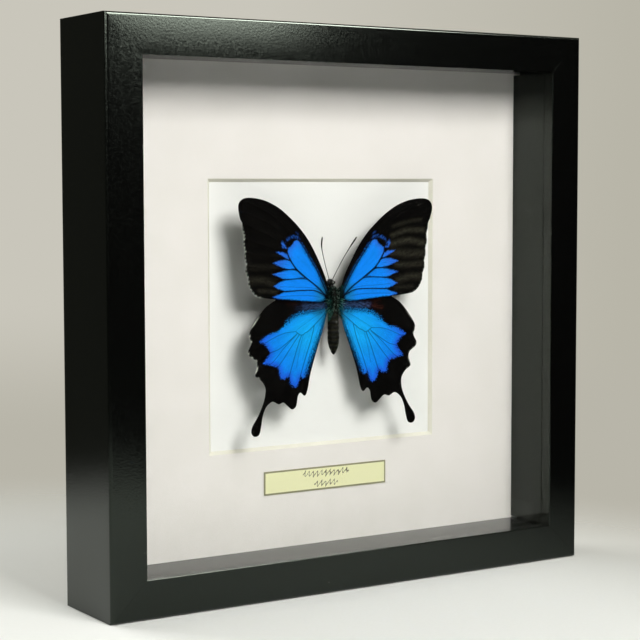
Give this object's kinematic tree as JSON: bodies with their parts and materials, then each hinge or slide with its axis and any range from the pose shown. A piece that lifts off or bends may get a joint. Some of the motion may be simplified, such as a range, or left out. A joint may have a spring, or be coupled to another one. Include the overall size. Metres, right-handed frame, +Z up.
{
  "type": "framed butterfly specimen",
  "caption": "Deep square box frame in satin black with a bevelled white mat, and behind its glass a spread swallowtail butterfly, black with bright blue wing patches, above a small paper label.",
  "frame": {"origin": "Middle of the underside of the bottom moulding, where the frame stands on a table or shelf.", "axes": "+Z is up, the front of the frame faces -Y, and +X is to the viewer's right when looking at the front."},
  "size_m": [0.25, 0.043, 0.25],
  "materials": {
    "black_wrap": "satin black wrapped moulding",
    "pane": "clear polished",
    "mat_board": "matt, faint tooth",
    "foam_card": "matt smooth",
    "label_paper": "matt cream paper",
    "hardboard": "brown pressed fibre board",
    "zinc_plate": "zinc plated",
    "pin_steel": "polished",
    "wing_scales": "iridescent blue scales on velvet black",
    "body_fur": "fine dark hair"
  },
  "bodies": {
    "root": {"rail_bottom": "black_wrap", "rail_top": "black_wrap", "rail_left": "black_wrap", "rail_right": "black_wrap", "spacer_bottom": "black_wrap", "spacer_top": "black_wrap", "spacer_left": "black_wrap", "spacer_right": "black_wrap", "glass": "pane", "mat": "mat_board", "backing_card": "foam_card", "label": "label_paper", "back_board": "hardboard", "hanger": "zinc_plate", "point_bottom_1": "zinc_plate", "point_bottom_2": "zinc_plate", "point_top_1": "zinc_plate", "point_top_2": "zinc_plate", "point_left_1": "zinc_plate", "point_left_2": "zinc_plate", "point_right_1": "zinc_plate", "point_right_2": "zinc_plate", "forewing_left": "wing_scales", "forewing_right": "wing_scales", "hindwing_left": "wing_scales", "hindwing_right": "wing_scales", "body": "body_fur", "pin": "pin_steel"}
  },
  "joints": []
}
